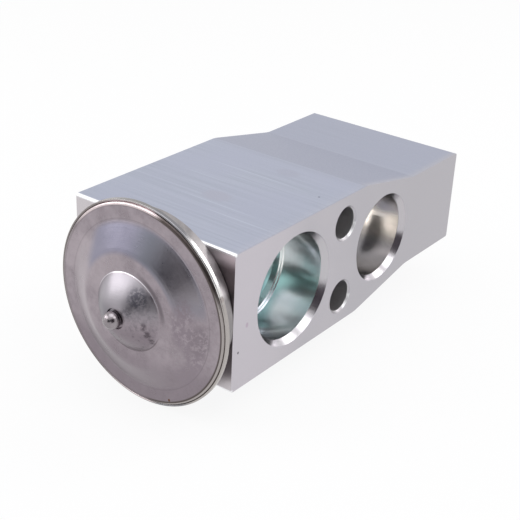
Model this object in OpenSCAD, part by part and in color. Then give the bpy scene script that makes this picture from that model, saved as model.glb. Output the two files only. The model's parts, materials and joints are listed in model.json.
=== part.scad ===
// Block-type thermostatic expansion valve.
// X runs along the valve axis from the power head (-X) to the adjusting screw (+X).
// Y is the direction of the ports and of the fixing bolts, and Z is the height of the block.
// The origin is midway between the two bolt holes, on the valve axis.
// Distances along the valve are given from the front face, on which the power head sits.

/* [Block] */
// Length of the block from the front face to the far end
block_length = 82; // [80:0.2:90]
// Width of the block, from port face to port face
block_width = 40; // [38:1:46]
// Distance of the port face on the evaporator's side from the valve axis
axis_depth = 18; // [17.5:0.5:20]
// Height of the block at the power head
block_height = 29.2; // [28.6:0.2:34]
// Height of the block at the far end
tail_height = 21.2; // [20:0.2:24]
// Distance at which the block starts to taper
taper_start = 42.4; // [41:0.2:45]
// Distance at which the taper ends
taper_end = 62.5; // [60:0.5:65]
// Radius of the soft bends at both ends of the taper
bend_r = 9; // [4:1:12]
// Radius of the block's outer edges along its width
edge_r = 0.5; // [0.2:0.1:1]

/* [Bolt holes] */
// Distance of the two bolt holes
bolt_x = 36; // [35.4:0.2:37]
// Height between the centres of the bolt holes
bolt_spacing = 16.8; // [16.4:0.1:17.6]
// Radius of a bolt hole
bolt_hole_r = 3.4; // [3.1:0.1:3.6]
// Chamfer at the mouth of a bolt hole
bolt_chamfer = 0.4; // [0.2:0.05:0.5]

/* [Suction passage] */
// Distance of the suction passage
suction_x = 19.1; // [18.7:0.1:19.7]
// Radius of a suction port at its mouth
suction_mouth_r = 11.85; // [11.6:0.05:12.1]
// Depth of the lead-in of a suction port
suction_lead = 1.4; // [1:0.1:2]
// Radius of a suction port below its lead-in
suction_port_r = 10.9; // [10.7:0.1:11.2]
// Depth of a suction port
suction_depth = 10.8; // [10:0.2:13]
// Width of each of the two ledges at the bottom of a suction port
suction_ledge = 0.32; // [0.2:0.04:0.4]
// Depth from the first ledge to the second
suction_step = 0.4; // [0.2:0.1:0.8]
// Length of the cone below the second ledge
suction_cone = 1.3; // [0.8:0.1:1.6]
// Radius of the suction passage between its ports
suction_passage_r = 10; // [9:0.1:10.2]

/* [Outlet port to the evaporator] */
// Distance of the outlet port
outlet_x = 51; // [50.4:0.2:51.6]
// Radius of the outlet port at its mouth
outlet_mouth_r = 9.85; // [9.65:0.05:10.1]
// Depth of the lead-in of the outlet port
outlet_lead = 1.3; // [1:0.1:2]
// Radius of the outlet port below its lead-in
outlet_port_r = 9; // [8.5:0.1:9.4]
// Depth of the outlet port
outlet_depth = 11; // [10:0.2:13]
// Radius of the chamber between the outlet port and the valve axis
outlet_chamber_r = 4.6; // [4:0.1:4.8]

/* [Inlet port for liquid] */
// Distance of the inlet port
inlet_x = 62.6; // [62.2:0.2:63.2]
// Radius of the inlet port at its mouth
inlet_mouth_r = 8.6; // [8.2:0.1:8.8]
// Depth of the lead-in of the inlet port
inlet_lead = 1.2; // [1:0.1:2]
// Radius of the inlet port below its lead-in
inlet_port_r = 7.8; // [7.4:0.1:8]
// Depth of the inlet port
inlet_depth = 10.4; // [9:0.2:12]
// Radius of the drilling between the inlet port and the spring chamber
inlet_drill_r = 3.6; // [3:0.1:4]

/* [Power head] */
// Radius of the flange of the head's cap
cap_r = 20.4; // [19.2:0.1:22]
// Width of the weld bead round the cap, at the edge of the base's flange
weld_width = 0.47; // [0.35:0.01:0.6]
// Height of the weld bead above the face of that flange
weld_rise = 0.42; // [0.4:0.02:0.5]
// Thickness of the cap's sheet metal
cap_sheet = 0.64; // [0.54:0.02:0.8]
// Radius of the rounded outer edge of the cap's flange
cap_edge_r = 0.52; // [0.36:0.04:0.52]
// Radius at which the cap's flat flange ends
cap_flat_r = 17.4; // [17:0.1:17.8]
// Height of the cap's shoulder above the flange's face
shoulder_rise = 2.8; // [2:0.1:3.4]
// Radius at which the cap's slope ends in its flat shoulder
shoulder_r = 10.2; // [9:0.1:11]
// Radius of the cap's dome at its foot
dome_r = 7.9; // [7.4:0.1:8.1]
// Height of the dome above the shoulder
dome_rise = 3.7; // [3:0.1:4.4]
// Radius of the dimple in the top of the dome
dimple_r = 2.1; // [2:0.05:2.6]
// Depth of that dimple
dimple_depth = 0.45; // [0.3:0.05:0.5]
// Radius of the ball that closes the charging hole
charge_ball_r = 1.75; // [1.6:0.05:1.9]
// Height of that ball's centre above the top of the dome
charge_ball_lift = 0.7; // [0.5:0.05:0.8]
// Thickness of the diaphragm
diaphragm_t = 0.1; // [0.1:0.05:0.2]
// Thickness of the base's flange
base_flange_t = 0.6; // [0.5:0.05:0.8]
// Depth of the pan in the base, in which the stop plate moves
pan_depth = 3.8; // [3.4:0.1:4.2]
// Radius of that pan
pan_r = 16.9; // [16.6:0.1:17.2]
// Thickness of the wall and of the floor of the pan
pan_wall = 1.2; // [1:0.1:1.5]
// Radius of the threaded neck
neck_r = 10.5; // [10:0.1:10.8]
// Radius of the hole through the neck
neck_bore_r = 7.5; // [6.5:0.1:8]
// Length of the neck below the front face
neck_length = 6.4; // [5.5:0.1:6.6]
// Thickness of the ring that seals the head
head_seal_t = 1.7; // [1.4:0.1:2]

/* [Sensing rod and push pin] */
// Opening travel of the rod
rod_travel = 0.8; // [0.4:0.1:1]
// Radius of the stop plate
stop_plate_r = 15.2; // [14:0.1:16]
// Thickness of the stop plate
stop_plate_t = 1.3; // [1:0.05:1.35]
// Radius of the stop plate's hub
hub_r = 5.2; // [4.4:0.1:6]
// Length of the hub
hub_length = 6.6; // [5:0.1:8]
// Depth of the rod's socket in the hub
hub_socket = 5.4; // [3:0.1:6]
// Radius of the sensing rod
rod_r = 2.8; // [2.4:0.1:3]
// Depth of the rod's guide in the block, from the suction passage
guide_depth = 5.9; // [5:0.1:6.4]
// Thickness of the ring that seals the rod
rod_seal_t = 1.75; // [1.5:0.05:1.9]
// Thickness of the washer that holds this ring
retainer_t = 0.7; // [0.5:0.1:0.8]
// Radius of the push pin
pin_r = 1.2; // [0.9:0.05:1.4]

/* [Valve and adjuster] */
// Radius of the orifice
orifice_r = 1.9; // [1.7:0.05:2.1]
// Length of the orifice between the outlet chamber and the seat
orifice_length = 1.5; // [1:0.1:2]
// Depth of the seat's chamfer
seat_chamfer = 0.7; // [0.5:0.05:0.9]
// Radius of the valve ball
ball_r = 2.5; // [2.3:0.05:2.8]
// Radius of the ball carrier
carrier_r = 4.9; // [4.7:0.1:5.1]
// Thickness of the carrier's head
carrier_head = 2.3; // [2:0.1:2.6]
// Radius of the carrier's stem inside the spring
carrier_stem_r = 2.9; // [2.4:0.1:3]
// Length of the carrier's stem
carrier_stem = 3.4; // [2.5:0.1:4]
// Sheet thickness of the damping spring
damper_t = 0.3; // [0.2:0.05:0.4]
// Number of legs on the damping spring
damper_legs = 3; // [3:1:4]
// Width of a leg of the damping spring
damper_leg_w = 2.6; // [2:0.1:3.2]
// Length of a leg of the damping spring
damper_leg_l = 2.6; // [2:0.1:3]
// Radius of the spring chamber
chamber_r = 6.2; // [6:0.1:6.4]
// Radius of the superheat spring to the middle of its wire
spring_r = 4; // [3.8:0.1:4.2]
// Radius of the spring's wire
wire_r = 0.6; // [0.5:0.05:0.65]
// Turns of the spring between its closed ends
spring_turns = 3; // [2.5:0.5:3.5]
// Length of the fitted spring
spring_length = 9.4; // [8.8:0.1:10]
// Travel of the adjusting screw inward
screw_in = 1.5; // [1:0.1:1.8]
// Radius of the adjusting screw
screw_r = 6.95; // [6.8:0.05:7.1]
// Length of the adjusting screw
screw_length = 7.6; // [7:0.1:8]
// Width across the flats of the screw's hexagon socket
hex_flats = 8; // [6:0.5:8.5]
// Depth of the hexagon socket
hex_depth = 4.4; // [4.2:0.1:4.6]
// Thickness of the ring that seals the screw
screw_seal_t = 1.3; // [1.1:0.05:1.5]
// Length of the nose that centres the spring
nose_length = 1.8; // [1:0.1:2.5]

/* [Fits] */
// Radial clearance of what slides or turns
running_gap = 0.05; // [0.02:0.01:0.1]
// Clearance between screwed or seated pieces
seated_gap = 0.03; // [0.01:0.01:0.06]
// Clearance of what must not touch at the end of its travel
free_gap = 0.3; // [0.2:0.05:0.4]
// Gap between the closed ball and its seat
seat_gap = 0.1; // [0.05:0.05:0.15]

/* [Hidden] */
$fn = 96;
past = 1;               // how far a cutting solid runs past the face that it cuts
fine = 0.2;             // small edge break on turned pieces
arc_steps = 8;          // straight steps in a rounded bend of the block's outline
curve_steps = 14;       // straight steps in a pressed curve of the cap
edge_steps = 6;         // straight steps in a rounded edge of the power head
slope_ends = [0.12, 0.3]; // shares of the cap's slope in its outer and inner bends
wire_sides = 10;        // sides of the spring's wire
turn_steps = 20;        // rings of the spring's wire in one turn

// Places along the axis, from the front face
diaphragm_x = -(pan_wall + pan_depth);
plate_face_x = diaphragm_x + stop_plate_t;
hub_end_x = plate_face_x + hub_length;
rod_top_x = hub_end_x - hub_socket;
guide_mouth_x = suction_x + suction_passage_r;
guide_end_x = guide_mouth_x + guide_depth;
rod_end_x = guide_end_x - rod_travel - free_gap;
seal_well_r = rod_r + rod_seal_t + running_gap;
retainer_x = guide_mouth_x + free_gap;
seal_well_x = retainer_x + retainer_t + rod_seal_t + 2 * seated_gap;
chamber_wall_x = outlet_x + outlet_chamber_r;
seat_edge_x = chamber_wall_x + orifice_length;
chamber_x = seat_edge_x + seat_chamfer;
ball_x = seat_edge_x + sqrt(ball_r * ball_r - orifice_r * orifice_r) + seat_gap;
pin_end_x = ball_x - ball_r - seated_gap;
carrier_x = ball_x + ball_r / 2;
carrier_back_x = carrier_x + carrier_head;
spring_x = carrier_back_x + damper_t;
screw_x = spring_x + spring_length;
screw_back_x = screw_x + screw_length;
thread_x = screw_x - screw_in - free_gap;
seal_groove_x = screw_x + screw_seal_t;
nose_r = carrier_stem_r;

// Moves a piece from the front face to the origin between the bolt holes
module from_front(x = 0) {
    translate([x - bolt_x, 0, 0]) children();
}

// Turns a profile of radius and distance about the valve axis
module turned(x = 0) {
    from_front(x) rotate([0, 90, 0]) rotate_extrude() children();
}

// A round bar or hole along the valve axis
module axial(x, length, r, r_end = -1) {
    from_front(x) rotate([0, 90, 0]) cylinder(h = length, r1 = r, r2 = r_end < 0 ? r : r_end);
}

// Distance of the port face on the given side from the valve axis
function face_distance(side) = side > 0 ? axis_depth : block_width - axis_depth;

// A round hole across the valve, bored from the port face on the given side down to a depth
module across(x, side, from, depth, r, r_end = -1) {
    from_front(x) rotate([side * 90, 0, 0]) translate([0, 0, face_distance(side) - depth])
        cylinder(h = depth - from, r1 = r_end < 0 ? r : r_end, r2 = r);
}

// Points of a rounded corner at b, between the directions of a and c
function unit(v) = v / norm(v);
function corner(a, b, c, r) =
    let(u = unit(a - b), v = unit(c - b),
        half = acos(u * v) / 2,
        centre = b + unit(u + v) * r / sin(half),
        from = b + u * r / tan(half) - centre,
        turn = 180 - 2 * half,
        way = cross(u, v) > 0 ? -1 : 1)
    [for (i = [0 : arc_steps])
        let(t = way * turn * i / arc_steps)
        centre + [from.x * cos(t) - from.y * sin(t), from.x * sin(t) + from.y * cos(t)]];

// Side outline of the block, with soft bends at the taper
function outline() =
    let(h = block_height / 2, t = tail_height / 2,
        p = [[0, h], [taper_start, h], [taper_end, t], [block_length, t],
             [block_length, -t], [taper_end, -t], [taper_start, -h], [0, -h]],
        r = [edge_r, bend_r, bend_r, edge_r, edge_r, bend_r, bend_r, edge_r],
        n = len(p))
    [for (i = [0 : n - 1])
        each corner(p[(i + n - 1) % n], p[i], p[(i + 1) % n], r[i])];

// Ring of a given section thickness, as a seal that is pressed into its groove
module seal_ring(inner_r, outer_r, thickness) {
    soft = min(outer_r - inner_r, thickness) / 3;
    rotate([0, 90, 0]) rotate_extrude() polygon([
        [inner_r + soft, 0], [outer_r - soft, 0], [outer_r, soft], [outer_r, thickness - soft],
        [outer_r - soft, thickness], [inner_r + soft, thickness],
        [inner_r, thickness - soft], [inner_r, soft]]);
}

// Suction port on one face, with its lead-in, its two ledges and its cone
module suction_port(side) {
    step_r = suction_port_r - suction_ledge;
    step_end = suction_depth + suction_step;
    cone_end = step_end + suction_cone;
    across(suction_x, side, -past, 0, suction_mouth_r);
    across(suction_x, side, 0, suction_lead, suction_mouth_r, suction_port_r);
    across(suction_x, side, suction_lead, suction_depth, suction_port_r);
    across(suction_x, side, suction_depth, step_end, step_r);
    across(suction_x, side, step_end, cone_end, step_r - suction_ledge, suction_passage_r);
}

// Outlet port, open to the chamber round the push pin
module outlet_port() {
    side = 1;
    across(outlet_x, side, -past, 0, outlet_mouth_r);
    across(outlet_x, side, 0, outlet_lead, outlet_mouth_r, outlet_port_r);
    across(outlet_x, side, outlet_lead, outlet_depth, outlet_port_r);
    across(outlet_x, side, outlet_depth, face_distance(side) + outlet_chamber_r, outlet_chamber_r);
}

// Inlet port, drilled through to the spring chamber
module inlet_port() {
    side = -1;
    across(inlet_x, side, -past, 0, inlet_mouth_r);
    across(inlet_x, side, 0, inlet_lead, inlet_mouth_r, inlet_port_r);
    across(inlet_x, side, inlet_lead, inlet_depth, inlet_port_r);
    across(inlet_x, side, inlet_depth, face_distance(side), inlet_drill_r);
}

// Bolt hole through the whole width, with a chamfer at both mouths
module bolt_hole(z) {
    translate([0, 0, z]) {
        across(bolt_x, 1, -past, block_width + past, bolt_hole_r);
        for (side = [-1, 1])
            across(bolt_x, side, 0, bolt_chamfer, bolt_hole_r + bolt_chamfer, bolt_hole_r);
    }
}

// Bores along the axis: head socket, rod guide, pin bore, orifice, spring chamber, screw thread
module axial_bores() {
    thread_r = screw_r + running_gap;
    axial(-past, past + neck_length + free_gap, neck_r + seated_gap);
    axial(-past, past + head_seal_t, neck_r + head_seal_t + seated_gap);
    axial(0, suction_x, neck_bore_r);
    axial(suction_x, seal_well_x - suction_x, seal_well_r);
    axial(seal_well_x, guide_end_x - seal_well_x, rod_r + running_gap);
    axial(guide_end_x, outlet_x - guide_end_x, pin_r + running_gap);
    axial(outlet_x, seat_edge_x - outlet_x + seat_chamfer, orifice_r);
    axial(seat_edge_x, seat_chamfer, orifice_r, orifice_r + seat_chamfer);
    axial(chamber_x, thread_x - chamber_x, chamber_r);
    axial(thread_x, block_length - thread_x + past, thread_r);
    axial(block_length - edge_r, edge_r, thread_r, thread_r + edge_r);
}

// Body of the valve, sawn from an extruded bar and machined
module valve_block() color("gainsboro") difference() {
    from_front() rotate([90, 0, 0]) translate([0, 0, -face_distance(-1)])
        linear_extrude(height = block_width) polygon(outline());
    across(suction_x, 1, -past, block_width + past, suction_passage_r);
    suction_port(1);
    suction_port(-1);
    outlet_port();
    inlet_port();
    bolt_hole(bolt_spacing / 2);
    bolt_hole(-bolt_spacing / 2);
    axial_bores();
}

// Pressed curve of the cap: a cone from the flange up to the shoulder, with a bend at each end
function step_up(t) =
    let(a = slope_ends[0], b = slope_ends[1], steep = 1 / (1 - (a + b) / 2))
    t < a ? steep * t * t / (2 * a)
          : t > 1 - b ? 1 - steep * (1 - t) * (1 - t) / (2 * b) : steep * (t - a / 2);
function shoulder_curve(r_out, r_in, low, rise) =
    [for (i = [0 : curve_steps])
        let(t = i / curve_steps) [r_out + (r_in - r_out) * t, low + rise * step_up(t)]];

// Rounded cone of the dome, steep at its foot and flat at its top
dome_power = 1.6;
function dome_curve(foot_r, top_r, low, rise) =
    [for (i = [0 : curve_steps])
        let(t = 1 - i / curve_steps)
        [top_r + (foot_r - top_r) * t, low + rise * (1 - pow(t, dome_power))]];

function backwards(list) = [for (i = [len(list) - 1 : -1 : 0]) list[i]];

// Rounded outer edge of the cap's flange
function cap_edge() =
    [for (i = [0 : edge_steps])
        let(t = 90 * i / edge_steps)
        [cap_r - cap_edge_r * (1 - cos(t)), cap_sheet - cap_edge_r * (1 - sin(t))]];

// Heights of the cap above the diaphragm
shoulder_h = cap_sheet + shoulder_rise;
dome_h = shoulder_h + dome_rise;
dimple_h = dome_h - dimple_depth;
ball_h = dome_h + charge_ball_lift;
hole_r = sqrt(pow(charge_ball_r, 2) - pow(ball_h - dimple_h, 2)) + seated_gap;

// Cap of the power head, pressed from stainless sheet: flange, shoulder, dome and dimple
module head_cap() color("silver") from_front(diaphragm_x - diaphragm_t)
    rotate([0, -90, 0]) rotate_extrude() polygon(concat(
        [[cap_r, 0]], cap_edge(),
        shoulder_curve(cap_flat_r, shoulder_r, cap_sheet, shoulder_rise),
        dome_curve(dome_r, dimple_r, shoulder_h, dome_rise),
        [[dimple_r - fine, dimple_h], [hole_r, dimple_h], [hole_r, dimple_h - cap_sheet]],
        backwards(dome_curve(dome_r - cap_sheet, dimple_r, shoulder_h - cap_sheet,
                             dome_rise - dimple_depth)),
        backwards(shoulder_curve(cap_flat_r - cap_sheet, shoulder_r, 0, shoulder_rise))));

// Steel ball welded into the charging hole
module charge_ball() color("lightgray")
    from_front(diaphragm_x - diaphragm_t - ball_h) sphere(r = charge_ball_r);

// Thin disc that the charge pushes on
module diaphragm() color("darkgray")
    axial(diaphragm_x - diaphragm_t, diaphragm_t, cap_r - cap_sheet);

// Inner and outer radius of the weld bead, and of the base's flange under it
weld_r = cap_r + seated_gap;
base_r = weld_r + weld_width;

// Round top of the weld bead that stands round the cap's edge
function weld_bead() =
    let(round_r = weld_width / 2)
    [for (i = [0 : 2 * edge_steps])
        let(t = 90 * i / edge_steps)
        [base_r - round_r * (1 + cos(t)), diaphragm_x - weld_rise + round_r * (1 - sin(t))]];

// Base of the power head: flange with its weld bead, pan and threaded neck in one piece
module head_base() {
    wall_r = pan_r + pan_wall;
    flange_x = diaphragm_x + base_flange_t;
    color("silver") turned() polygon(concat(
        [[pan_r, diaphragm_x], [weld_r, diaphragm_x]], weld_bead(), [
        [base_r, flange_x - fine], [base_r - fine, flange_x], [wall_r + fine, flange_x],
        [wall_r, flange_x + fine], [wall_r, -fine], [wall_r - fine, 0], [neck_r, 0],
        [neck_r, neck_length - fine], [neck_r - fine, neck_length],
        [neck_bore_r, neck_length], [neck_bore_r, -pan_wall], [pan_r, -pan_wall]]));
}

// Ring between the head's neck and the block
module head_seal() color("dimgray") from_front(seated_gap)
    seal_ring(neck_r + seated_gap, neck_r + head_seal_t, head_seal_t - 2 * seated_gap);

// Plate under the diaphragm, with a hub that holds the rod
module stop_plate() color("whitesmoke") turned() polygon([
    [0, diaphragm_x], [stop_plate_r - fine, diaphragm_x], [stop_plate_r, diaphragm_x + fine],
    [stop_plate_r, plate_face_x - fine], [stop_plate_r - fine, plate_face_x],
    [hub_r, plate_face_x], [hub_r, hub_end_x - fine], [hub_r - fine, hub_end_x],
    [rod_r + seated_gap, hub_end_x], [rod_r + seated_gap, rod_top_x], [0, rod_top_x]]);

// Rod across the suction passage
module sensing_rod() color("whitesmoke") turned() polygon([
    [0, rod_top_x], [rod_r - fine, rod_top_x], [rod_r, rod_top_x + fine],
    [rod_r, rod_end_x - fine], [rod_r - fine, rod_end_x], [0, rod_end_x]]);

// Washer that keeps the rod's seal in its well
module seal_retainer() color("silver") difference() {
    axial(retainer_x, retainer_t, seal_well_r - seated_gap);
    axial(retainer_x - past, retainer_t + 2 * past, rod_r + fine);
}

// Ring between the rod and the block
module rod_seal() color("dimgray") from_front(retainer_x + retainer_t + seated_gap)
    seal_ring(rod_r + running_gap, seal_well_r - seated_gap, rod_seal_t);

// Pin between the rod and the ball
module push_pin() color("silver") turned() polygon([
    [0, rod_end_x], [pin_r, rod_end_x], [pin_r, pin_end_x - fine],
    [pin_r - fine, pin_end_x], [0, pin_end_x]]);

// Ball that closes the orifice
module valve_ball() color("lightgray") from_front(ball_x) sphere(r = ball_r);

// Carrier with a cup for the ball and a stem inside the spring
module ball_carrier() color("silver") difference() {
    turned() polygon([
        [0, carrier_x], [carrier_r - fine, carrier_x], [carrier_r, carrier_x + fine],
        [carrier_r, carrier_back_x], [carrier_stem_r, carrier_back_x],
        [carrier_stem_r, carrier_back_x + carrier_stem - fine],
        [carrier_stem_r - fine, carrier_back_x + carrier_stem],
        [0, carrier_back_x + carrier_stem]]);
    from_front(ball_x) sphere(r = ball_r + seated_gap);
}

// Thin ring under the spring, whose bent legs rub on the chamber's wall and stop rattling
module damping_spring() {
    leg_r = chamber_r - running_gap;
    leg_x = spring_x - damper_leg_l;
    color("silver") difference() {
        union() {
            axial(carrier_back_x, damper_t, carrier_r);
            intersection() {
                axial(leg_x, damper_leg_l, leg_r);
                for (i = [0 : damper_legs - 1])
                    rotate([360 * i / damper_legs, 0, 0])
                        from_front(leg_x) translate([0, -damper_leg_w / 2, 0])
                            cube([damper_leg_l, damper_leg_w, leg_r]);
            }
        }
        axial(leg_x - past, damper_leg_l + 2 * past, carrier_stem_r + seated_gap);
        axial(leg_x - past, carrier_back_x - leg_x + past, leg_r - damper_t);
    }
}

// Climb of the wire along the spring: closed ends, with open turns between them
closed_turns = 0.75;
closed_pitch = 2 * (wire_r + seated_gap);
open_climb = spring_length - 2 * wire_r - 2 * closed_turns * closed_pitch;
function wire_climb(turn) =
    let(first = min(turn, closed_turns),
        open = min(max(turn - closed_turns, 0), spring_turns),
        last = max(turn - closed_turns - spring_turns, 0))
    (first + last) * closed_pitch + open * open_climb / spring_turns;

// Coil spring between the carrier and the adjusting screw
module superheat_spring() {
    rings = (spring_turns + 2 * closed_turns) * turn_steps;
    points = [for (i = [0 : rings]) let(a = 360 * i / turn_steps)
        for (k = [0 : wire_sides - 1]) let(w = 360 * k / wire_sides,
            r = spring_r + wire_r * cos(w))
        [r * cos(a), r * sin(a), wire_r + wire_climb(i / turn_steps) + wire_r * sin(w)]];
    sides = [for (i = [0 : rings - 1], k = [0 : wire_sides - 1])
        let(a = i * wire_sides + k, b = i * wire_sides + (k + 1) % wire_sides)
        [a, b, b + wire_sides, a + wire_sides]];
    ends = [[for (k = [wire_sides - 1 : -1 : 0]) k],
            [for (k = [0 : wire_sides - 1]) rings * wire_sides + k]];
    color("gray") from_front(spring_x) rotate([0, 90, 0]) polyhedron(points, concat(sides, ends));
}

// Screw that sets the spring's load, with a hexagon socket and a groove for its seal
module adjusting_screw() {
    groove_r = screw_r - screw_seal_t;
    groove_end_x = seal_groove_x + screw_seal_t + 2 * seated_gap;
    color("darkgray") difference() {
        turned() polygon([
            [0, screw_x - nose_length], [nose_r - fine, screw_x - nose_length],
            [nose_r, screw_x - nose_length + fine], [nose_r, screw_x],
            [screw_r - fine, screw_x], [screw_r, screw_x + fine], [screw_r, seal_groove_x],
            [groove_r, seal_groove_x], [groove_r, groove_end_x], [screw_r, groove_end_x],
            [screw_r, screw_back_x - fine], [screw_r - fine, screw_back_x], [0, screw_back_x]]);
        from_front(screw_back_x - hex_depth) rotate([0, 90, 0])
            cylinder(h = hex_depth + past, r = hex_flats / 2 / cos(30), $fn = 6);
    }
}

// Ring in the adjusting screw's groove
module screw_seal() color("dimgray") from_front(seal_groove_x + seated_gap)
    seal_ring(screw_r - screw_seal_t + seated_gap, screw_r, screw_seal_t);

valve_block();
head_cap();
charge_ball();
diaphragm();
head_base();
head_seal();
stop_plate();
sensing_rod();
seal_retainer();
rod_seal();
push_pin();
valve_ball();
ball_carrier();
damping_spring();
superheat_spring();
adjusting_screw();
screw_seal();
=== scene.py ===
"""Looks of the block-type expansion valve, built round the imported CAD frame.

Lengths in the values below are millimetres, and the helper functions turn them into metres.
"""

import json
import math

import bpy
from mathutils import Matrix, Vector


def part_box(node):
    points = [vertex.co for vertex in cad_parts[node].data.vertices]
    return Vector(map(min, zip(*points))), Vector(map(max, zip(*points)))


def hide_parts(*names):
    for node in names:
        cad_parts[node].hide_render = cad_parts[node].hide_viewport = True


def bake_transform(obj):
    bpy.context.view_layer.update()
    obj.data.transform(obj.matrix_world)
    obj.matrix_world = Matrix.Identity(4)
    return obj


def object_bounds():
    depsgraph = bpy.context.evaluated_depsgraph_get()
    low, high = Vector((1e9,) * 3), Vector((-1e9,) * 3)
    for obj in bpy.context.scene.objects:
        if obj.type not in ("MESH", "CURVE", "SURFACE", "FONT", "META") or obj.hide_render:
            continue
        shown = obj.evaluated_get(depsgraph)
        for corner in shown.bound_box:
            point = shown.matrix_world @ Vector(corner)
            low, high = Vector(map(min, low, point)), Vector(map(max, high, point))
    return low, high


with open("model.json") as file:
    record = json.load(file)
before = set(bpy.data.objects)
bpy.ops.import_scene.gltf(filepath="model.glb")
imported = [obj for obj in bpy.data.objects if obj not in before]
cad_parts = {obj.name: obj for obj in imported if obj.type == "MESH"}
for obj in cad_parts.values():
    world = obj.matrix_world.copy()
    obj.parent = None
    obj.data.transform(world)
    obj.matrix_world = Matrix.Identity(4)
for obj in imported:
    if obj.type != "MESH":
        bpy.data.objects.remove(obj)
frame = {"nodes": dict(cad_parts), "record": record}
cad_low, cad_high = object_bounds()

MM = 0.001

# Camera, found from the corners and circles in the photograph, with its angles in degrees
CAMERA_PLACE = (-173.729, -124.839, 101.785)
CAMERA_AROUND = 53.617
CAMERA_DOWN = 26.777
CAMERA_ROLL = 2.688
CAMERA_LENS = 76.494
SENSOR_WIDTH = 36.0
CLIP_START = 10.0
CLIP_END = 20000.0

# The block's faces, from the frame
block_low, block_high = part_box("valve_block")
FRONT_FACE = block_low[0] / MM
NEAR_FACE = block_low[1] / MM
FAR_FACE = block_high[1] / MM
TOP_FACE = block_high[2] / MM

# Its ports and bolt holes, from the record's mounts
MOUNTS = {mount["name"]: mount for mount in frame["record"]["mounts"]}
AXIS_SUCTION = MOUNTS["suction_inlet"]["pos_m"][0] / MM
AXIS_OUTLET = MOUNTS["liquid_outlet"]["pos_m"][0] / MM
AXIS_INLET = MOUNTS["liquid_inlet"]["pos_m"][0] / MM
BOLT_HEIGHT = MOUNTS["bolt_holes"]["dims"]["spacing_y_mm"] / 2
BOLT_R = MOUNTS["bolt_holes"]["dims"]["hole_r_mm"]

# Radii of the holes' mouths, the depth of the ports' lead-ins, and the adjusting screw's thread
MOUTH_SUCTION = 11.9
MOUTH_OUTLET = 9.9
MOUTH_INLET = 8.65
MOUTH_BOLT = 3.84
LEAD_IN = 1.4
SCREW_BORE = 7.0
SCREW_BORE_START = 40.0
THREAD_PITCH = 1.0
THREAD_DEPTH = 0.3

# The power head's own radii
DOME_R = 7.9
SLOPE_INNER = 11.4
SLOPE_OUTER = 16.7
CREASE_INNER = 17.15
CREASE_OUTER = 17.35
BEAD_INNER = 20.36

# The superheat spring's own measures
SPRING_R = 4.0
WIRE_R = 0.6
OPEN_TURNS = 3
CLOSED_TURNS = 0.75
CLOSED_PITCH = 1.26
SPLIT_TURN = 1.5
RINGS_A_TURN = 48
WIRE_SIDES = 16

# Marks of use that the photograph shows, and painted shade among the cap's marks: place, half sizes and
# colour
TOP_MARKS = (
    ((-4.74, -14.14, TOP_FACE), (0.32, 0.32, 0.5), (0.16, 0.17, 0.24)),
    ((-18.1, 1.2, TOP_FACE), (3.0, 4.2, 0.5), (0.395, 0.405, 0.49)),
    ((1.1, -2.2, TOP_FACE), (2.4, 3.6, 0.5), (0.385, 0.40, 0.49)),
    ((-4.2, 1.8, TOP_FACE), (0.26, 15.0, 0.5), (0.45, 0.48, 0.57)),
    ((-24.2, -9.0, TOP_FACE), (0.24, 10.0, 0.5), (0.46, 0.49, 0.58)),
    ((-21.2, -1.5, TOP_FACE), (0.22, 13.0, 0.5), (0.45, 0.48, 0.57)),
    ((-11.5, 9.0, TOP_FACE), (0.2, 8.0, 0.5), (0.44, 0.47, 0.56)),
)
PORT_MARKS = (
    ((-34.25, NEAR_FACE, -6.44), (0.3, 0.5, 0.35), (0.13, 0.12, 0.14)),
    ((-31.83, NEAR_FACE, -1.47), (0.5, 0.5, 0.7), (0.50, 0.42, 0.50)),
)
CAP_SCUFFS_AND_SHADE = (
    # The first three are scuffs along the dome's near edge
    ((-45.5, -5.5, -0.4), (2.5, 0.7, 1.2), (0.12, 0.10, 0.115)),
    ((-45.5, -5.9, -2.2), (2.5, 0.7, 1.3), (0.12, 0.10, 0.115)),
    ((-45.3, -6.3, -3.9), (2.5, 0.6, 0.9), (0.12, 0.10, 0.115)),
    # The rest are painted dark reflection on the dome's near side and painted shade on the cone's near
    # side
    ((-45.6, -3.5, 4.3), (2.5, 2.5, 2.5), (0.16, 0.155, 0.185)),
    ((-46.6, -2.4, 1.9), (2.5, 1.8, 1.6), (0.17, 0.16, 0.18)),
    ((-44.0, -12.6, 1.5), (2.5, 3.0, 7.0), (0.26, 0.22, 0.25)),
    ((-43.0, -14.5, -5.5), (2.5, 2.6, 5.5), (0.26, 0.22, 0.25)),
    ((-43.0, -12.5, -10.5), (2.5, 3.0, 3.0), (0.26, 0.22, 0.25)),
    ((-42.6, -15.5, -1.6), (2.5, 2.6, 4.4), (0.24, 0.205, 0.23)),
)
CAP_STAINS = (
    ((-41.6, -7.61, -17.8), (0.6, 0.34, 0.42), (0.12, 0.05, 0.02)),
)
BEAD_MARKS = (
    ((-41.0, -18.97, 7.96), (0.9, 0.8, 0.9), (0.40, 0.36, 0.35)),
)

# Studio lamps: place, target, width, height, strength and colour
LAMPS = {
    "lamp_top": ((-60, 60, 500), (0, 0, 0), 400, 400, 0.8, (0.96, 0.97, 1.0)),
    "lamp_left": ((-205, 438, 175), (-40, 0, 0), 220, 190, 0.39, (1.0, 0.98, 0.99)),
    "lamp_high": ((-335, 270, 290), (-40, 0, 0), 190, 190, 0.3, (1.0, 0.98, 0.99)),
    "lamp_side": ((19, -295, 428), (0, -18, 0), 250, 220, 0.33, (1.0, 0.99, 1.0)),
    "lamp_right": ((318, -217, 256), (-40, 0, 0), 250, 250, 0.5, (1.0, 0.98, 0.97)),
}

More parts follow.
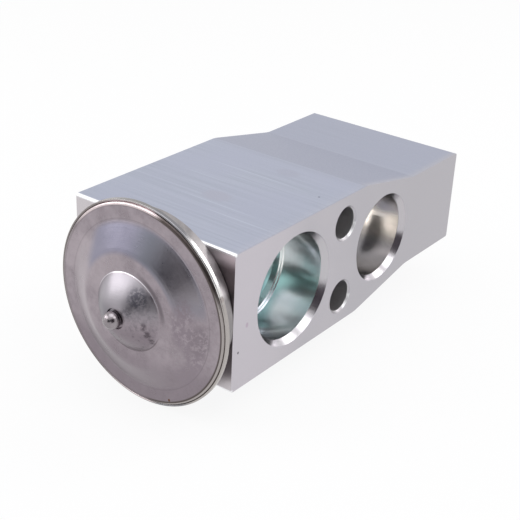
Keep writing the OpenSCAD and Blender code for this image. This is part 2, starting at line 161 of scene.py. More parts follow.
# Dark boards that the metal reflects: place, target, width, height and colour
CARDS = {
    "card_front": ((-590, -20, 125), (-40, 0, 0), 340, 350, (0.05, 0.045, 0.06)),
    "card_side": ((-344, -458, 220), (0, -18, 0), 430, 500, (0.06, 0.045, 0.06)),
    "card_between": ((-537, -250, 244), (-40, -18, 0), 130, 360, (0.05, 0.045, 0.06)),
}
WORLD_DIFFUSE = 0.6
FLOOR_HEIGHT = cad_low[2] / MM
FLOOR_SIZE = 6000
FLOOR_COLOR = (0.85, 0.85, 0.86)
FLOOR_WHITE_SHARE = 0.9
STUDIO_ROUGHNESS = 0.9

# Blender's mix node has its two colours and its colour result at these places
MIX_FIRST = 6
MIX_SECOND = 7
MIX_RESULT = 2


def camera_axes():
    """The camera's right, up and forward, from its turn, fall and roll."""
    around = math.radians(CAMERA_AROUND)
    down = math.radians(CAMERA_DOWN)
    roll = math.radians(CAMERA_ROLL)
    level = Vector((math.sin(around), math.cos(around), 0))
    forward = level * math.cos(down) - Vector((0, 0, math.sin(down)))
    right = forward.cross(Vector((0, 0, 1))).normalized()
    up = right.cross(forward)
    rolled_right = right * math.cos(roll) + up * math.sin(roll)
    rolled_up = up * math.cos(roll) - right * math.sin(roll)
    return rolled_right, rolled_up, forward


def make_camera():
    """The camera at the photograph's place and angle."""
    data = bpy.data.cameras.new("camera")
    data.lens = CAMERA_LENS
    data.sensor_width = SENSOR_WIDTH
    data.clip_start = CLIP_START * MM
    data.clip_end = CLIP_END * MM
    camera = bpy.data.objects.new("camera", data)
    right, up, forward = camera_axes()
    turn = Matrix((right, up, -forward)).transposed()
    camera.matrix_world = Matrix.Translation(Vector(CAMERA_PLACE) * MM) @ turn.to_4x4()
    bpy.context.scene.collection.objects.link(camera)
    bpy.context.scene.camera = camera
    bpy.context.scene.view_settings.view_transform = "Standard"


class Shade:
    """One procedural material, built a node at a time over a plain colour and roughness."""

    def __init__(self, name, color, rough, metallic=1.0):
        self.material = bpy.data.materials.new(name)
        self.material.use_nodes = True
        self.tree = self.material.node_tree
        self.surface = self.tree.nodes["Principled BSDF"]
        self.surface.inputs["Base Color"].default_value = (*color, 1)
        self.surface.inputs["Roughness"].default_value = rough
        self.surface.inputs["Metallic"].default_value = metallic
        coordinates = self.node("ShaderNodeTexCoord")
        self.place = self.vector("MULTIPLY", coordinates.outputs["Object"], (1 / MM, 1 / MM, 1 / MM))
        self.x, self.y, self.z = self.split(self.place)

    def node(self, kind, **settings):
        """A new node of that kind, with its settings."""
        made = self.tree.nodes.new(kind)
        for name, value in settings.items():
            setattr(made, name, value)
        return made

    def put(self, socket, value):
        """A link where value is a socket, and otherwise the socket's own value."""
        if isinstance(value, bpy.types.NodeSocket):
            self.tree.links.new(value, socket)
        else:
            socket.default_value = value

    def split(self, vector):
        """The three numbers of a vector."""
        parts = self.node("ShaderNodeSeparateXYZ")
        self.put(parts.inputs[0], vector)
        return parts.outputs

    def vector(self, operation, a, b):
        """The result of one operation on two vectors."""
        made = self.node("ShaderNodeVectorMath", operation=operation)
        self.put(made.inputs[0], a)
        self.put(made.inputs[1], b)
        return made.outputs[0]

    def combine(self, x, y, z):
        """The vector of three numbers."""
        made = self.node("ShaderNodeCombineXYZ")
        for socket, value in zip(made.inputs, (x, y, z)):
            self.put(socket, value)
        return made.outputs[0]

    def math(self, operation, a, b=0.0):
        """The result of one operation on one or two numbers."""
        made = self.node("ShaderNodeMath", operation=operation)
        self.put(made.inputs[0], a)
        self.put(made.inputs[1], b)
        return made.outputs[0]

    def times(self, a, b):
        """The product of two numbers."""
        return self.math("MULTIPLY", a, b)

    def plus(self, a, b):
        """The sum of two numbers."""
        return self.math("ADD", a, b)

    def larger(self, a, b):
        """The larger of two numbers."""
        return self.math("MAXIMUM", a, b)

    def rest_of(self, a):
        """What is missing from a to 1."""
        return self.math("SUBTRACT", 1.0, a)

    def distance(self, a, b):
        """The length of the pair of numbers a, b."""
        return self.math("SQRT", self.plus(self.times(a, a), self.times(b, b)))

    def ramp(self, value, start, end, low=0.0, high=1.0):
        """Goes from low to high as value goes from start to end."""
        made = self.node("ShaderNodeMapRange", interpolation_type="SMOOTHSTEP")
        numbers = (start, end, low, high)
        if start > end:
            numbers = (end, start, high, low)
        self.put(made.inputs["Value"], value)
        for name, number in zip(("From Min", "From Max", "To Min", "To Max"), numbers):
            made.inputs[name].default_value = number
        return made.outputs[0]

    def near(self, value, low, high, soft):
        """1 where value lies between low and high, and 0 beyond, with an edge as wide as soft."""
        rise = self.ramp(value, low - soft / 2, low + soft / 2)
        fall = self.ramp(value, high + soft / 2, high - soft / 2)
        return self.times(rise, fall)

    def noise(self, stretch, detail=3.0, rough=0.5, place=None, shift=0.0):
        """Noise with the given number of cells to a millimetre along each axis."""
        scaled = self.vector("MULTIPLY", place or self.place, stretch)
        made = self.node("ShaderNodeTexNoise")
        self.put(made.inputs["Vector"], self.vector("ADD", scaled, (shift, shift, shift)))
        made.inputs["Scale"].default_value = 1.0
        made.inputs["Detail"].default_value = detail
        made.inputs["Roughness"].default_value = rough
        return made.outputs["Fac"]

    def mix(self, factor, a, b):
        """The colour a where factor is 0, and b where it is 1."""
        made = self.node("ShaderNodeMix", data_type="RGBA")
        self.put(made.inputs["Factor"], factor)
        for number, color in ((MIX_FIRST, a), (MIX_SECOND, b)):
            given = color if isinstance(color, bpy.types.NodeSocket) else (*color, 1)
            self.put(made.inputs[number], given)
        return made.outputs[MIX_RESULT]

    def blend(self, factor, a, b):
        """The number a where factor is 0, and b where it is 1."""
        return self.plus(self.times(a, self.rest_of(factor)), self.times(b, factor))

    def spot(self, place, half_size):
        """1 at a place on the part, falling to 0 at the edge of a soft round spot."""
        offset = self.vector("SUBTRACT", self.place, place)
        stretched = self.vector("DIVIDE", offset, half_size)
        made = self.node("ShaderNodeVectorMath", operation="LENGTH")
        self.put(made.inputs[0], stretched)
        return self.ramp(made.outputs["Value"], 1.0, 0.5)

    def paint(self, color, marks, strength=1.0):
        """The colour with each of the marks over it, as strongly as strength says."""
        for place, half_size, mark_color in marks:
            mark = self.times(self.spot(place, half_size), strength)
            color = self.mix(mark, color, mark_color)
        return color

    def bump(self, height, distance):
        """The surface's normal over a relief of that height, times distance in millimetres."""
        made = self.node("ShaderNodeBump")
        made.inputs["Strength"].default_value = 1.0
        made.inputs["Distance"].default_value = distance * MM
        self.put(made.inputs["Height"], height)
        return made.outputs["Normal"]

    def finish(self, color, rough, normal):
        """The material, with its colour, roughness and normal in place."""
        self.put(self.surface.inputs["Base Color"], color)
        self.put(self.surface.inputs["Roughness"], rough)
        self.put(self.surface.inputs["Normal"], normal)
        return self.material


def between_faces(s):
    """1 between the block's two port faces, and 0 on them."""
    return s.near(s.y, NEAR_FACE + 0.03, FAR_FACE - 0.03, 0.04)


def bore_masks(s):
    """The turned walls of the ports, their lead-ins, and the screw's threaded bore."""
    inside = between_faces(s)
    from_suction = s.distance(s.plus(s.x, -AXIS_SUCTION), s.z)
    from_outlet = s.distance(s.plus(s.x, -AXIS_OUTLET), s.z)
    from_inlet = s.distance(s.plus(s.x, -AXIS_INLET), s.z)
    from_axis = s.distance(s.y, s.z)
    suction = s.ramp(from_suction, MOUTH_SUCTION, MOUTH_SUCTION - 0.04)
    outlet = s.times(s.ramp(from_outlet, MOUTH_OUTLET, MOUTH_OUTLET - 0.04), s.ramp(s.y, 0.5, 0.0))
    inlet = s.times(s.ramp(from_inlet, MOUTH_INLET, MOUTH_INLET - 0.04), s.ramp(s.y, 0.0, 0.5))
    near_lead = s.ramp(s.y, NEAR_FACE + LEAD_IN + 0.01, NEAR_FACE + LEAD_IN - 0.01)
    far_lead = s.ramp(s.y, FAR_FACE - LEAD_IN - 0.01, FAR_FACE - LEAD_IN + 0.01)
    screw_wall = s.ramp(from_axis, SCREW_BORE + 0.06, SCREW_BORE + 0.03)
    return {
        "suction": s.times(suction, inside),
        "liquid": s.times(s.larger(outlet, inlet), inside),
        "lead_in": s.plus(near_lead, far_lead),
        "screw_bore": s.times(screw_wall, s.ramp(s.x, SCREW_BORE_START, SCREW_BORE_START + 0.5)),
    }


def bolt_masks(s):
    """The bolt holes' walls, the chamfers at their mouths, and the side of those where a highlight is
    painted.
    """
    below_bolt = s.math("SUBTRACT", s.times(s.math("SIGN", s.z), BOLT_HEIGHT), s.z)
    from_bolt = s.distance(s.x, below_bolt)
    wall = s.ramp(from_bolt, BOLT_R + 0.06, BOLT_R + 0.03)
    return {
        "bolt": s.times(wall, between_faces(s)),
        "bolt_rim": s.near(from_bolt, BOLT_R + 0.02, MOUTH_BOLT, 0.04),
        "bolt_shine": s.times(s.ramp(s.x, 1.2, 1.9), s.ramp(below_bolt, 0.5, 1.2)),
    }


def face_masks(s):
    """The block's outer faces by their direction, the bands along their edges, one of them a painted
    highlight, and where painted shade lies under the head.
    """
    geometry = s.node("ShaderNodeNewGeometry")
    facing = s.split(s.vector("ABSOLUTE", geometry.outputs["Normal"], (0, 0, 0)))
    height = s.math("ABSOLUTE", s.z)
    front = s.ramp(s.x, FRONT_FACE + 0.7, FRONT_FACE + 0.3)
    behind_rim = s.times(s.ramp(s.y, -8.0, -12.0), s.near(s.z, -11.5, 12.5, 3.0))
    return {
        "port_face": s.ramp(facing[1], 0.9, 0.99),
        "end_face": s.ramp(facing[0], 0.97, 0.995),
        "taper": s.times(s.ramp(facing[0], 0.08, 0.16), s.ramp(facing[0], 0.35, 0.25)),
        "top_edge": s.ramp(s.z, TOP_FACE - 0.4, TOP_FACE + 0.2),
        "near_edge": s.ramp(s.y, NEAR_FACE + 2.2, NEAR_FACE - 0.3, 0.0, 0.6),
        # Painted shade on the front face behind the head's rim
        "under_head": s.times(s.ramp(s.x, FRONT_FACE + 1.0, FRONT_FACE + 0.5), behind_rim),
        # Painted highlight along the front face's top and bottom edges
        "front_edge": s.times(front, s.ramp(height, TOP_FACE - 0.7, TOP_FACE - 0.4)),
    }


def drawn_color(s, mask, drawn, cloud):
    """The bar's drawn faces: fine lines, a cloudy tone, painted shade towards the tail and on the
    taper, and the marks on the top face.
    """
    color = s.mix(s.ramp(drawn, 0.35, 0.65), (0.375, 0.40, 0.485), (0.425, 0.45, 0.54))
    color = s.mix(s.ramp(cloud, 0.35, 0.7, 0.0, 0.8), color, (0.40, 0.42, 0.52))
    # Painted shade: darker towards the tail and on the taper face
    color = s.mix(s.ramp(s.x, 3.0, 9.0, 0.0, 0.7), color, (0.355, 0.37, 0.455))
    color = s.mix(s.times(mask["taper"], 0.8), color, (0.30, 0.315, 0.405))
    return s.paint(color, TOP_MARKS)


def port_face_color(s, cloud):
    """The milled port faces, lighter and warmer towards the head as painted light, darker towards the
    tail as painted shade, with their marks.
    """
    color = s.mix(s.ramp(cloud, 0.3, 0.7), (0.535, 0.51, 0.545), (0.49, 0.475, 0.51))
    # Painted shade towards the tail, then painted light towards the head
    color = s.mix(s.ramp(s.x, -20, 30), color, (0.47, 0.455, 0.485))
    color = s.mix(s.ramp(s.x, -12.0, -32.0, 0.0, 0.8), color, (0.60, 0.565, 0.61))
    return s.paint(color, PORT_MARKS)


def suction_color(s, mask, turned):
    """The suction ports' turned walls, faintly teal as a painted reflection and greyer at the bottom as
    painted shade, and their lead-ins.
    """
    # A faint teal tint, a painted reflection
    color = s.mix(s.ramp(turned, 0.35, 0.65), (0.88, 0.905, 0.895), (0.94, 0.955, 0.945))
    # Painted shade at the bottom of the bore
    color = s.mix(s.ramp(s.z, -5.0, -9.0), color, (0.78, 0.80, 0.84))
    return s.mix(mask["lead_in"], color, (0.52, 0.505, 0.53))


def liquid_color(s, mask, turned):
    """The liquid ports' turned walls: a bright band as painted reflection, painted shade on the wall
    below it, and the lead-ins.
    """
    color = s.mix(s.ramp(turned, 0.35, 0.65), (0.88, 0.85, 0.82), (0.94, 0.91, 0.88))
    # Painted reflection: a bright band across the wall
    color = s.mix(s.near(s.z, -0.6, 2.2, 1.4), color, (0.98, 0.96, 0.92))
    tail_side = s.ramp(s.x, AXIS_OUTLET - 3.0, AXIS_OUTLET + 1.0)
    # Painted shade on the lower wall, on the tail side
    shaded_lower_wall = s.times(s.ramp(s.z, -2.0, -7.0), tail_side)
    color = s.mix(shaded_lower_wall, color, (0.42, 0.43, 0.48))
    return s.mix(mask["lead_in"], color, (0.52, 0.50, 0.525))


def block_color(s, mask, drawn, turned):
    """The block's colour, face by face and then bore by bore."""
    cloud = s.noise((0.06, 0.05, 0.06), 2.0, 0.5, shift=3.0)
    drawn_faces = drawn_color(s, mask, drawn, cloud)
    port_faces = s.mix(mask["top_edge"], port_face_color(s, cloud), drawn_faces)
    drawn_faces = s.mix(mask["near_edge"], drawn_faces, port_faces)
    color = s.mix(mask["port_face"], drawn_faces, port_faces)
    # Painted shade on the bolt chamfers' head side
    bolt_rim = s.mix(s.ramp(s.x, 1.6, 0.8, 0.0, 0.6), port_faces, (0.22, 0.21, 0.22))
    color = s.mix(mask["bolt_rim"], color, bolt_rim)
    shaded_end = s.mix(s.ramp(s.z, 4.0, 7.0), (0.29, 0.26, 0.275), (0.13, 0.115, 0.12))
    end_faces = s.mix(mask["under_head"], (0.60, 0.565, 0.585), shaded_end)
    color = s.mix(mask["end_face"], color, end_faces)
    color = s.mix(mask["bolt"], color, (0.72, 0.71, 0.72))
    color = s.mix(mask["suction"], color, suction_color(s, mask, turned))
    color = s.mix(mask["liquid"], color, liquid_color(s, mask, turned))
    # Painted highlights: the front face's edges and the bolt chamfers' lower tail side
    bright = s.larger(mask["front_edge"], s.times(mask["bolt_rim"], mask["bolt_shine"]))
    return s.mix(bright, color, (0.92, 0.92, 0.94))


def block_relief(s, mask, bore, drawn, fine):
    """The drawn lines, a fine grain, and the thread in the adjusting screw's bore."""
    lines = s.times(drawn, s.rest_of(s.larger(mask["port_face"], bore)))
    surface = s.times(s.plus(lines, s.times(fine, 0.2)), 0.015)
    turn = s.times(s.math("ARCTAN2", s.y, s.z), 0.5 / math.pi)
    thread = s.math("PINGPONG", s.plus(s.times(s.x, 1 / THREAD_PITCH), turn), 0.5)
    return s.plus(surface, s.times(s.times(thread, mask["screw_bore"]), 2 * THREAD_DEPTH))


def block_material():
    """Aluminium: drawn faces with lines along Y, milled port faces, and turned bores."""
    s = Shade("block_aluminium", (0.5, 0.5, 0.55), 0.38)
    mask = {**face_masks(s), **bore_masks(s), **bolt_masks(s)}
    drawn = s.noise((1.6, 0.03, 1.6), 4.0, 0.6)
    fine = s.noise((3.0, 3.0, 3.0), 2.0, 0.6, shift=9.0)
    turned = s.noise((0.25, 2.2, 0.25), 3.0, 0.6, shift=5.0)
    bore = s.larger(mask["suction"], mask["liquid"])
    face_rough = s.ramp(fine, 0.3, 0.7, 0.34, 0.42)
    bore_rough = s.ramp(fine, 0.3, 0.7, 0.19, 0.25)
    relief = block_relief(s, mask, bore, drawn, fine)
    return s.finish(
        color=block_color(s, mask, drawn, turned),
        rough=s.blend(bore, face_rough, bore_rough),
        normal=s.bump(relief, 1.0),
    )


def sheet_color(s, patches, grain):
    """The pressed sheet's own mottled colour, with painted light on the far upper side."""
    color = s.mix(s.ramp(patches, 0.35, 0.68), (0.285, 0.245, 0.27), (0.375, 0.325, 0.355))
    color = s.mix(s.ramp(grain, 0.45, 0.75), color, (0.34, 0.305, 0.33))
    # Painted light on the far upper side
    painted_light_side = s.times(s.ramp(s.y, -1.0, 6.0), s.near(s.z, 2.0, 10.5, 3.0))
    return s.mix(s.times(painted_light_side, 0.35), color, (0.50, 0.44, 0.47))


def slope_color(s, color, radius):
    """The cap's cone: a painted dark bluish reflection above, and painted light on the far side."""
    slope = s.near(radius, SLOPE_INNER, SLOPE_OUTER, 1.4)
    # Painted dark reflection on the upper cone, darkest on the near side and lighter at its near end
    upper = s.times(s.times(slope, s.ramp(s.z, 2.0, 8.0)), s.ramp(s.y, 12.5, 9.0))
    color = s.mix(s.times(upper, 0.8), color, (0.235, 0.235, 0.315))
    color = s.mix(s.times(upper, s.ramp(s.y, 2.0, -4.0)), color, (0.185, 0.19, 0.225))
    color = s.mix(s.times(upper, s.ramp(s.y, -3.0, -12.0)), color, (0.32, 0.295, 0.325))
    # Painted light on the far side
    far_side = s.times(slope, s.ramp(s.y, 7.0, 11.0))
    return s.mix(s.times(far_side, s.ramp(s.z, 7.0, 2.0)), color, (0.395, 0.345, 0.375))


def dome_color(s, color, dome, specks):
    """The cap's dome: painted light above, painted shade on the lower far side, and mottled on the near
    one with painted shade there.
    """
    # Painted light on the upper dome
    color = s.mix(s.times(dome, s.ramp(s.z, -1.0, 4.0)), color, (0.355, 0.335, 0.365))
    # Painted shade on the lower far side
    far_side = s.times(s.times(dome, s.ramp(s.y, -0.5, 2.0)), s.ramp(s.z, 3.5, 1.0))
    color = s.mix(s.times(far_side, 0.8), color, (0.235, 0.225, 0.25))
    # Mottling, darkened on the near side as painted shade
    mottled = s.times(s.ramp(specks, 0.44, 0.6), s.times(dome, s.ramp(s.y, -1.0, -3.5)))
    return s.mix(s.times(mottled, 0.5), color, (0.22, 0.20, 0.225))


def dome_foot_color(s, color, radius):
    """The foot of the dome: a painted highlight above, painted shade beside it and painted shade in the
    crease below.
    """
    # Painted highlight along the foot's upper edge
    shine = s.times(s.near(radius, 7.8, 7.97, 0.08), s.ramp(s.z, 1.8, 4.2))
    color = s.mix(shine, color, (0.68, 0.66, 0.70))
    near_upper = s.times(s.ramp(s.z, -0.5, 2.5), s.ramp(s.y, -1.0, -5.0))
    shade = s.times(s.near(radius, 8.1, 9.0, 0.7), near_upper)
    color = s.mix(s.times(shade, 0.75), color, (0.15, 0.13, 0.145))
    # Painted shade in the crease below
    crease = s.times(s.near(radius, 7.85, 8.1, 0.12), s.ramp(s.z, -2.5, -4.5))
    return s.mix(s.times(crease, 0.7), color, (0.13, 0.11, 0.12))


def shade_and_wear_color(s, color, radius, specks):
    """Painted shade low on the dome and on the lower side, dark specks on the dome, scuffs and painted
    shade marks, and a rust speck.
    """
    # Painted shade low on the dome and on the lower side
    dome_lower_shade = s.times(s.ramp(radius, 8.0, 7.2), s.ramp(s.z, 1.0, -3.0))
    lower_shade = s.larger(dome_lower_shade, s.times(s.ramp(s.z, -5.0, -12.0), 0.95))
    color = s.mix(s.times(lower_shade, 0.7), color, (0.215, 0.18, 0.205))
    worn = s.times(s.ramp(specks, 0.58, 0.66), s.near(radius, 3.0, 7.4, 1.0))
    color = s.mix(s.times(worn, s.ramp(s.z, 1.0, -3.0)), color, (0.13, 0.115, 0.125))
    # Scuffs, with painted dark reflection and painted shade among them
    color = s.paint(color, CAP_SCUFFS_AND_SHADE, s.ramp(specks, 0.36, 0.56))
    return s.paint(color, CAP_STAINS)


def rim_color(s, color, radius):
    """The cap's rim: a dark band beside the weld, strongest on the near side, beige below, a painted
    highlight above, and painted shade in the crease inside.
    """
    dark_band = s.times(s.ramp(radius, 19.5, 19.8), s.ramp(s.y, 0.0, -5.0, 0.3, 0.95))
    color = s.mix(dark_band, color, (0.085, 0.07, 0.065))
    near_lower = s.times(s.ramp(s.z, 10.0, 6.0), s.ramp(s.y, -2.0, -8.0, 0.0, 0.9))
    color = s.mix(s.times(s.ramp(radius, 19.92, 20.04), near_lower), color, (0.42, 0.385, 0.375))
    # Painted highlight on the cap's edge at the top
    top = s.times(s.ramp(s.y, -6.0, -2.5), s.ramp(s.z, 11.0, 15.0))
    color = s.mix(s.times(s.ramp(radius, 19.75, 19.9), top), color, (0.66, 0.57, 0.58))
    # Painted shade in the crease inside
    crease = s.near(radius, CREASE_INNER, CREASE_OUTER, 0.12)
    return s.mix(s.times(crease, 0.3), color, (0.16, 0.14, 0.155))


def cap_material():
    """Pressed stainless sheet, mottled, with faint rings, scuffs, a rust speck, and painted light and
    shade.
    """
    s = Shade("pressed_stainless", (0.33, 0.3, 0.32), 0.34)
    radius = s.distance(s.y, s.z)
    dome = s.ramp(radius, DOME_R, DOME_R - 0.4)
    patches = s.noise((0.35, 0.35, 0.35), 5.0, 0.65)
    grain = s.noise((2.2, 2.2, 2.2), 3.0, 0.6, shift=4.0)
    specks = s.noise((1.3, 1.3, 1.3), 4.0, 0.7, shift=8.0)
    rings = s.noise((3.0, 0.0, 0.0), 2.0, 0.5, place=s.combine(radius, 0.0, 0.0))
    color = sheet_color(s, patches, grain)
    color = slope_color(s, color, radius)
    color = dome_color(s, color, dome, specks)
    color = dome_foot_color(s, color, radius)
    color = shade_and_wear_color(s, color, radius, specks)
    color = rim_color(s, color, radius)
    rough = s.plus(s.ramp(patches, 0.3, 0.7, 0.27, 0.33), s.times(dome, 0.08))
    relief = s.plus(s.times(grain, 0.5), s.times(rings, 0.4))
    return s.finish(color=color, rough=rough, normal=s.bump(relief, 0.03))


def weld_color(s, radius, patches):
    """The weld bead: a painted highlight at the near top, beige below, and painted shade round the far
    side.
    """
    color = s.mix(s.ramp(patches, 0.35, 0.7), (0.74, 0.72, 0.71), (0.88, 0.87, 0.87))
    color = s.mix(s.ramp(s.z, 9.0, 7.0), color, (0.43, 0.40, 0.385))
    # Painted shade on all but the near end
    color = s.mix(s.ramp(s.y, -14.0, -10.0), color, (0.24, 0.235, 0.25))
    # A painted highlight line along the bead's inner edge, from the top round the far side
    lit_edge = s.mix(s.ramp(radius, 20.55, 20.75), (0.60, 0.52, 0.53), (0.27, 0.26, 0.26))
    color = s.mix(s.ramp(s.y, -5.0, -2.0), color, lit_edge)
    # Painted shade round the far side
    return s.mix(s.ramp(s.y, 5.0, 12.0), color, (0.24, 0.215, 0.21))


def base_material():
    """Turned stainless of the head's base, with a painted reflection on its near side and a weld bead
    round its rim, painted bright at the near top.
    """
    s = Shade("turned_stainless", (0.5, 0.47, 0.46), 0.26)
    radius = s.distance(s.y, s.z)
    around = s.math("ARCTAN2", s.y, s.z)
    bead = s.ramp(radius, BEAD_INNER, BEAD_INNER + 0.06)
    patches = s.noise((0.5, 0.5, 0.5), 4.0, 0.6)
    lines = s.noise((4.0, 0.3, 0.3), 2.0, 0.5, shift=7.0)
    ripples = s.noise((20.0, 0.0, 2.0), 2.0, 0.5, place=s.combine(around, 0.0, s.x))
    wall = s.mix(s.ramp(patches, 0.3, 0.7), (0.27, 0.255, 0.26), (0.34, 0.32, 0.325))
    # Painted reflection: a pale patch on the wall's near side
    painted_reflection_side = s.times(s.ramp(s.y, -7.0, -11.0), s.near(s.z, 6.5, 12.6, 2.0))
    wall = s.mix(painted_reflection_side, wall, (0.92, 0.86, 0.88))
    color = s.mix(bead, wall, weld_color(s, radius, patches))
    wall_rough = s.ramp(patches, 0.3, 0.7, 0.34, 0.44)
    bead_rough = s.ramp(patches, 0.3, 0.7, 0.18, 0.26)
    relief = s.plus(s.times(ripples, bead), s.times(lines, 0.2))
    return s.finish(
        color=s.paint(color, BEAD_MARKS),
        rough=s.blend(bead, wall_rough, bead_rough),
        normal=s.bump(relief, 0.02),
    )


def metal(name, light, dark, rough, spread=0.06):
    """A plain metal with slight patches in its colour and gloss."""
    s = Shade(name, light, rough)
    patches = s.noise((1.0, 1.0, 1.0), 4.0, 0.6)
    grain = s.noise((5.0, 5.0, 5.0), 2.0, 0.5, shift=7.0)
    color = s.mix(s.ramp(patches, 0.3, 0.7), dark, light)
    gloss = s.ramp(patches, 0.3, 0.7, rough - spread, rough + spread)
    return s.finish(color=color, rough=gloss, normal=s.bump(grain, 0.01))


def rubber_material():
    """Dark green sealing rubber."""
    s = Shade("seal_rubber", (0.03, 0.05, 0.04), 0.5, metallic=0.0)
    patches = s.noise((0.8, 0.8, 0.8), 4.0, 0.6)
    color = s.mix(s.ramp(patches, 0.3, 0.7), (0.02, 0.035, 0.03), (0.035, 0.06, 0.05))
    gloss = s.ramp(patches, 0.3, 0.7, 0.42, 0.6)
    return s.finish(color=color, rough=gloss, normal=s.bump(patches, 0.02))


def dress_nodes():
    """Gives each CAD node its material, and returns the materials by slot."""
    materials = {
        "block_aluminium": block_material(),
        "pressed_stainless": cap_material(),
        "turned_stainless": base_material(),
        "polished_steel": metal("polished_steel", (0.33, 0.30, 0.315), (0.26, 0.235, 0.25), 0.24, 0.03),
        "inner_stainless": metal("inner_stainless", (0.55, 0.55, 0.57), (0.45, 0.45, 0.47), 0.25),
        # The rod's teal colour is a painted reflection, seen through the suction port
        "rod_aluminium": metal("rod_aluminium", (0.46, 0.76, 0.75), (0.38, 0.66, 0.66), 0.35),
        "spring_steel": metal("spring_steel", (0.3, 0.3, 0.31), (0.2, 0.2, 0.22), 0.35),
        "screw_steel": metal("screw_steel", (0.45, 0.45, 0.44), (0.36, 0.36, 0.35), 0.3),
        "seal_rubber": rubber_material(),
    }
    for row in frame["record"]["subparts"]:
        data = frame["nodes"][row["node"]].data
        data.materials.clear()
        data.materials.append(materials[row["material_slot"]])
    return materials


def wire_climb(turn, length):
    """How far the wire has climbed along a spring of that length: closed ends, open between."""
    open_climb = length - 2 * WIRE_R - 2 * CLOSED_TURNS * CLOSED_PITCH
    first = min(turn, CLOSED_TURNS)
    open_part = min(max(turn - CLOSED_TURNS, 0), OPEN_TURNS)
    last = max(turn - CLOSED_TURNS - OPEN_TURNS, 0)
    return (first + last) * CLOSED_PITCH + open_climb * open_part / OPEN_TURNS


def wire_ring(turn, along):
    """The points round the wire at one turn of the coil, in metres."""
    angle = 2 * math.pi * turn
    points = []
    for k in range(WIRE_SIDES):
        side = 2 * math.pi * k / WIRE_SIDES
        radius = SPRING_R + WIRE_R * math.cos(side)
        x = along + WIRE_R * math.sin(side)
        points.append(Vector((x, radius * math.sin(angle), -radius * math.cos(angle))) * MM)
    return points


def spring_wire(name, first_turn, last_turn, front, length):
    """The spring's round wire from one turn to another, as a closed mesh."""
    rings = round((last_turn - first_turn) * RINGS_A_TURN)
    points = []
    for i in range(rings + 1):
        turn = first_turn + (last_turn - first_turn) * i / rings
        points += wire_ring(turn, front + WIRE_R + wire_climb(turn, length))
    faces = []
    for i in range(rings):
        for k in range(WIRE_SIDES):
            a = i * WIRE_SIDES + k
            b = i * WIRE_SIDES + (k + 1) % WIRE_SIDES
            faces.append((b, a, a + WIRE_SIDES, b + WIRE_SIDES))
    sides = len(faces)
    faces.append(tuple(range(WIRE_SIDES)))
    faces.append(tuple(rings * WIRE_SIDES + k for k in reversed(range(WIRE_SIDES))))
    mesh = bpy.data.meshes.new(name)
    mesh.from_pydata(points, [], faces)
    for polygon in mesh.polygons:
        polygon.use_smooth = polygon.index < sides
    wire = bpy.data.objects.new(name, mesh)
    bpy.context.scene.collection.objects.link(wire)
    return wire


def make_spring(material):
    """The superheat spring as two wire parts, split at SPLIT_TURN, in place of the CAD spring."""
    low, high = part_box("superheat_spring")
    front, back = low[0] / MM, high[0] / MM
    length = back - front
    turns = OPEN_TURNS + 2 * CLOSED_TURNS
    carrier_part = spring_wire("spring_carrier_part", 0, SPLIT_TURN, front, length)
    screw_part = spring_wire("spring_screw_part", SPLIT_TURN, turns, front, length)
    for part in (carrier_part, screw_part):
        part.data.materials.append(material)
        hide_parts("superheat_spring")
    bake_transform(carrier_part)
    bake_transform(screw_part)


def aim(obj, target):
    """Turns obj's own -Z towards the target."""
    direction = Vector(target) * MM - obj.location
    obj.rotation_mode = "QUATERNION"
    obj.rotation_quaternion = direction.to_track_quat("-Z", "Y")


def make_lamp(name, place, target, width, height, strength, color):
    """A rectangular soft lamp."""
    data = bpy.data.lights.new(name, "AREA")
    data.shape = "RECTANGLE"
    data.size = width * MM
    data.size_y = height * MM
    data.energy = strength
    data.color = color
    lamp = bpy.data.objects.new(name, data)
    lamp.location = Vector(place) * MM
    bpy.context.scene.collection.objects.link(lamp)
    aim(lamp, target)


def seen_as_white(tree):
    """1 for the rays that see the studio's own white: from the camera, off gloss, through glass."""
    path = tree.nodes.new("ShaderNodeLightPath")
    seen = path.outputs["Is Camera Ray"]
    for name in ("Is Glossy Ray", "Is Transmission Ray"):
        either = tree.nodes.new("ShaderNodeMath")
        either.operation = "MAXIMUM"
        tree.links.new(seen, either.inputs[0])
        tree.links.new(path.outputs[name], either.inputs[1])
        seen = either.outputs[0]
    return seen


def make_world():
    """White to the camera and in reflections, and a plain soft fill for the rest."""
    world = bpy.data.worlds.new("studio")
    bpy.context.scene.world = world
    world.use_nodes = True
    tree = world.node_tree
    background = tree.nodes["Background"]
    background.inputs["Color"].default_value = (1, 1, 1, 1)
    strength = tree.nodes.new("ShaderNodeMapRange")
    strength.inputs["To Min"].default_value = WORLD_DIFFUSE
    strength.inputs["To Max"].default_value = 1.0
    tree.links.new(seen_as_white(tree), strength.inputs["Value"])
    tree.links.new(strength.outputs[0], background.inputs["Strength"])


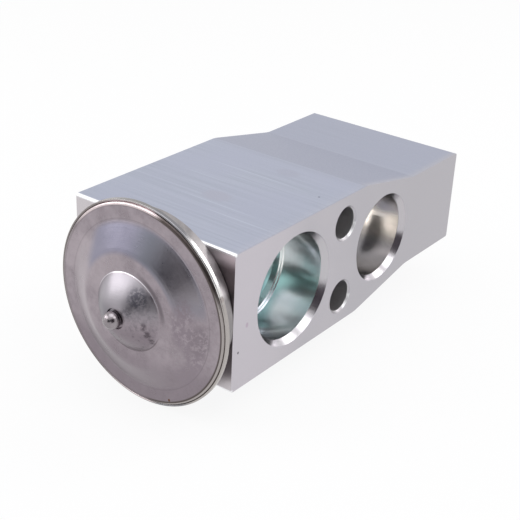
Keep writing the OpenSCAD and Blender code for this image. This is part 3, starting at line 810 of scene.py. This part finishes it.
def studio_material(name, color):
    """A matt material of one colour."""
    material = bpy.data.materials.new(name)
    material.use_nodes = True
    surface = material.node_tree.nodes["Principled BSDF"]
    surface.inputs["Base Color"].default_value = (*color, 1)
    surface.inputs["Roughness"].default_value = STUDIO_ROUGHNESS
    return material


def floor_material():
    """White paper: mostly its own white to the camera, with the object's shadow kept."""
    material = studio_material("floor_white", FLOOR_COLOR)
    tree = material.node_tree
    glow = tree.nodes.new("ShaderNodeEmission")
    share = tree.nodes.new("ShaderNodeMath")
    share.operation = "MULTIPLY"
    share.inputs[1].default_value = FLOOR_WHITE_SHARE
    tree.links.new(seen_as_white(tree), share.inputs[0])
    mixed = tree.nodes.new("ShaderNodeMixShader")
    tree.links.new(share.outputs[0], mixed.inputs[0])
    tree.links.new(tree.nodes["Principled BSDF"].outputs[0], mixed.inputs[1])
    tree.links.new(glow.outputs[0], mixed.inputs[2])
    tree.links.new(mixed.outputs[0], tree.nodes["Material Output"].inputs["Surface"])
    return material


def flat_sheet(name, width, height, material, z=0.0):
    """A level rectangle round the Z axis, at that height, which isn't part of the object."""
    x, y = width / 2, height / 2
    corners = ((-x, -y, z), (x, -y, z), (x, y, z), (-x, y, z))
    mesh = bpy.data.meshes.new(name)
    mesh.from_pydata([Vector(corner) * MM for corner in corners], [], [(0, 1, 2, 3)])
    mesh.materials.append(material)
    sheet = bpy.data.objects.new(name, mesh)
    bpy.context.scene.collection.objects.link(sheet)
    return sheet


def make_card(name, place, target, width, height, color):
    """A dark board that shows only in the metal's reflections, as round a product shot."""
    card = flat_sheet(name, width, height, studio_material(name, color))
    card.location = Vector(place) * MM
    aim(card, target)
    card.visible_camera = False
    card.visible_diffuse = False
    card.visible_shadow = False


def make_studio():
    """The world, the floor, the lamps and the boards."""
    make_world()
    flat_sheet("floor", FLOOR_SIZE, FLOOR_SIZE, floor_material(), FLOOR_HEIGHT)
    for name, values in LAMPS.items():
        make_lamp(name, *values)
    for name, values in CARDS.items():
        make_card(name, *values)


make_camera()
materials = dress_nodes()
make_spring(materials["spring_steel"])
make_studio()
